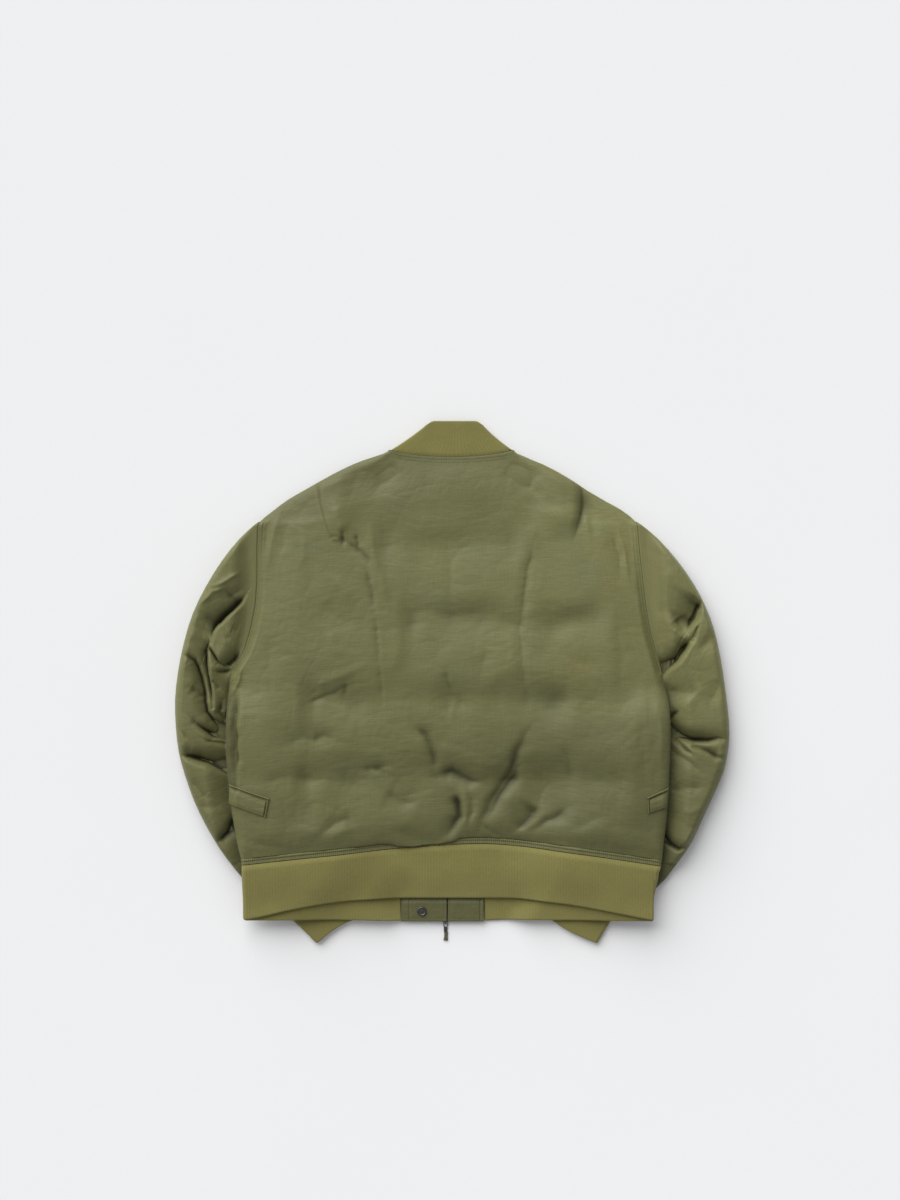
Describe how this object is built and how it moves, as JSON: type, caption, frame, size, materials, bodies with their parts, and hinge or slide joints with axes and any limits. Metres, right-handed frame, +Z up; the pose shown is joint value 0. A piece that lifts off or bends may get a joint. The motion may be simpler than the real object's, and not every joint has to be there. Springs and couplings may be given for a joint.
{
  "type": "bomber jacket",
  "caption": "Padded bomber jacket laid flat with its back up, sleeves folded under, with rib collar, cuffs and hem, slanted pocket welts and a hinged zip pull.",
  "frame": {"origin": "centre of the bounding box on the plane that the jacket lies on", "axes": "+X across the body to the side on the right as it is seen from above, +Y up the back to the collar, +Z up from the surface it lies on"},
  "size_m": [0.786, 0.7426, 0.0505],
  "materials": {
    "olive_nylon": "satin",
    "olive_rib_knit": "matte",
    "olive_woven_tape": "matte",
    "dark_zip_coil": "satin",
    "dark_metal": "satin"
  },
  "bodies": {
    "jacket": {"back_panel": "olive_nylon", "front_panel_left": "olive_nylon", "front_panel_right": "olive_nylon", "sleeve_left_top": "olive_nylon", "sleeve_left_under": "olive_nylon", "sleeve_right_top": "olive_nylon", "sleeve_right_under": "olive_nylon", "cuff_left": "olive_rib_knit", "cuff_right": "olive_rib_knit", "hem_binding": "olive_nylon", "hem_rib": "olive_rib_knit", "collar_rib": "olive_rib_knit", "hem_tab_left": "olive_nylon", "hem_tab_right": "olive_nylon", "hem_snap": "dark_metal", "pocket_welt_left": "olive_nylon", "pocket_welt_right": "olive_nylon", "zip_tape_left": "olive_woven_tape", "zip_tape_right": "olive_woven_tape", "zip_chain": "dark_zip_coil", "zip_slider": "dark_metal"},
    "pull": {"zip_pull": "dark_metal", "zip_pull_tail": "olive_woven_tape"}
  },
  "joints": [
    {"name": "zip_pull_hinge", "type": "hinge", "parent": "jacket", "child": "pull", "pos_m": [-0.009, -0.3426, 0.0024], "axis": [-1, 0, 0], "range_deg": [0, 85]}
  ]
}
